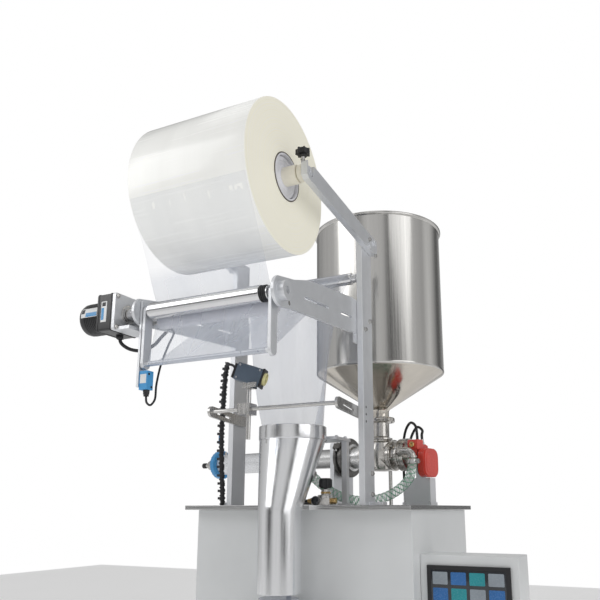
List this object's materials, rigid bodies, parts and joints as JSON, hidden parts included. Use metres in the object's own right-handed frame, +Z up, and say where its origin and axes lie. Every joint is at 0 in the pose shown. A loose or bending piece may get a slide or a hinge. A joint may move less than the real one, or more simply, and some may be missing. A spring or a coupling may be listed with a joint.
{
  "type": "vertical form fill sealer",
  "caption": "Bag maker for liquids and pastes: film reel on arms, forming funnel, sealing jaws below, steel hopper and piston filler behind, on a cabinet.",
  "frame": {"origin": "middle of the bounding box at the floor", "axes": "+Z up, +X to the machine's right as seen from the front, -Y is the front where the film reel hangs"},
  "size_m": [0.9199, 0.808, 1.752],
  "materials": {
    "painted_steel": "satin",
    "brushed_stainless": "brushed",
    "polished_steel": "polished",
    "aluminium": "satin",
    "cream_plastic": "satin",
    "clear_film": "glossy",
    "film_wound": "satin",
    "black_plastic": "matte",
    "black_paint": "satin",
    "rubber": "matte",
    "red_plastic": "satin",
    "blue_plastic": "satin",
    "slate_plastic": "satin",
    "clear_hose": "glossy",
    "screen_glass": "glossy",
    "green_plastic": "satin"
  },
  "bodies": {
    "machine_frame": {"cabinet_shell": "painted_steel", "control_panel": "painted_steel", "deck_plate": "brushed_stainless", "hopper": "brushed_stainless", "valve_body": "brushed_stainless", "filler_barrel": "brushed_stainless", "fill_tube": "brushed_stainless", "jaw_frame": "brushed_stainless", "discharge_chute": "brushed_stainless", "guide_rod": "brushed_stainless", "regulator_body": "brushed_stainless", "foot_1": "rubber", "foot_2": "rubber", "foot_3": "rubber", "foot_4": "rubber", "post_left": "aluminium", "post_right": "aluminium", "roll_arm_left": "aluminium", "roll_arm_right": "aluminium", "side_plate_left": "aluminium", "side_plate_right": "aluminium", "roll_shaft": "aluminium", "gearbox": "aluminium", "sensor_bracket": "aluminium", "air_cylinder": "aluminium", "actuator_stand": "aluminium", "film_lead": "clear_film", "film_run": "clear_film", "film_tube": "clear_film", "forming_funnel": "polished_steel", "motor_cable": "black_plastic", "sensor_cable": "black_plastic", "wiring_harness": "black_plastic", "gearmotor": "black_paint", "actuator": "red_plastic", "level_sensor": "blue_plastic", "cylinder_cap": "blue_plastic", "product_hose": "clear_hose", "touch_screen": "screen_glass"},
    "reel": {"film_roll": "film_wound", "film_core": "cream_plastic", "reel_hub": "cream_plastic"},
    "locking_screw": {"star_knob": "black_plastic"},
    "drive": {"drive_roller": "polished_steel"},
    "nip": {"nip_roller": "rubber"},
    "idler": {"upper_idler": "polished_steel"},
    "dancer": {"dancer_frame": "aluminium"},
    "eye": {"cross_clamp": "brushed_stainless", "photo_eye": "slate_plastic"},
    "piston": {"pump_piston": "brushed_stainless"},
    "rotor": {"valve_rotor": "brushed_stainless"},
    "pressure_knob": {"regulator_knob": "black_plastic"},
    "front_jaw": {"jaw_front": "brushed_stainless"},
    "rear_jaw": {"jaw_rear": "brushed_stainless"},
    "back_sealer": {"vertical_sealer": "brushed_stainless"},
    "wheel_left": {"pull_wheel_left": "rubber"},
    "wheel_right": {"pull_wheel_right": "rubber"},
    "door": {"rear_door": "painted_steel"},
    "estop": {"estop_button": "red_plastic"},
    "start": {"start_button": "green_plastic"}
  },
  "joints": [
    {"name": "reel_spin", "type": "hinge", "parent": "machine_frame", "child": "reel", "pos_m": [0.04169, -0.26676, 1.614], "axis": [1, 0, 0], "continuous": true},
    {"name": "star_knob_turn", "type": "hinge", "parent": "machine_frame", "child": "locking_screw", "pos_m": [0.19269, -0.26676, 1.614], "axis": [0, 0, 1], "range_deg": [0, 360]},
    {"name": "drive_roller_spin", "type": "hinge", "parent": "machine_frame", "child": "drive", "pos_m": [0.04169, -0.32176, 1.384], "axis": [1, 0, 0], "continuous": true},
    {"name": "nip_roller_spin", "type": "hinge", "parent": "machine_frame", "child": "nip", "pos_m": [0.04169, -0.29475, 1.371], "axis": [1, 0, 0], "continuous": true},
    {"name": "upper_idler_spin", "type": "hinge", "parent": "machine_frame", "child": "idler", "pos_m": [0.04169, 0.00825, 1.51], "axis": [1, 0, 0], "continuous": true},
    {"name": "dancer_swing", "type": "hinge", "parent": "machine_frame", "child": "dancer", "pos_m": [0.04169, -0.32176, 1.384], "axis": [1, 0, 0], "range_deg": [-10, 15], "deforming": ["film_lead", "film_run"]},
    {"name": "photo_eye_slide", "type": "slide", "parent": "machine_frame", "child": "eye", "axis": [1, 0, 0], "range_m": [-0.04, 0.12]},
    {"name": "piston_slide", "type": "slide", "parent": "machine_frame", "child": "piston", "axis": [0.9781, -0.2079, 0], "range_m": [0, 0.045]},
    {"name": "valve_turn", "type": "hinge", "parent": "machine_frame", "child": "rotor", "pos_m": [0.12969, 0.24824, 1.161], "axis": [0.9781, -0.2079, 0], "range_deg": [0, 90]},
    {"name": "pressure_knob_turn", "type": "hinge", "parent": "machine_frame", "child": "pressure_knob", "pos_m": [0.09569, 0.02324, 1.07], "axis": [0, 0, 1], "range_deg": [0, 270]},
    {"name": "jaw_close", "type": "slide", "parent": "machine_frame", "child": "front_jaw", "axis": [0, 1, 0], "range_m": [0, 0.024]},
    {"name": "rear_jaw_close", "type": "slide", "parent": "machine_frame", "child": "rear_jaw", "axis": [0, -1, 0], "range_m": [0, 0.024]},
    {"name": "back_sealer_press", "type": "slide", "parent": "machine_frame", "child": "back_sealer", "axis": [0, -1, 0], "range_m": [0, 0.0076]},
    {"name": "pull_wheel_spin", "type": "hinge", "parent": "machine_frame", "child": "wheel_left", "pos_m": [-0.02691, -0.06575, 0.815], "axis": [0, 1, 0], "continuous": true},
    {"name": "pull_wheel_right_spin", "type": "hinge", "parent": "machine_frame", "child": "wheel_right", "pos_m": [0.11029, -0.06575, 0.815], "axis": [0, 1, 0], "continuous": true},
    {"name": "rear_door_swing", "type": "hinge", "parent": "machine_frame", "child": "door", "pos_m": [-0.19231, 0.38655, 0.55], "axis": [0, 0, 1], "range_deg": [0, 110]},
    {"name": "estop_press", "type": "slide", "parent": "machine_frame", "child": "estop", "axis": [0, 1, 0], "range_m": [0, 0.006], "stiffness_N_per_m": 500},
    {"name": "start_press", "type": "slide", "parent": "machine_frame", "child": "start", "axis": [0, 1, 0], "range_m": [0, 0.004], "stiffness_N_per_m": 500}
  ],
  "couplings": [
    {"joint": "nip_roller_spin", "follows": "drive_roller_spin", "ratio": -1.0714},
    {"joint": "rear_jaw_close", "follows": "jaw_close", "ratio": 1},
    {"joint": "pull_wheel_right_spin", "follows": "pull_wheel_spin", "ratio": -1}
  ]
}
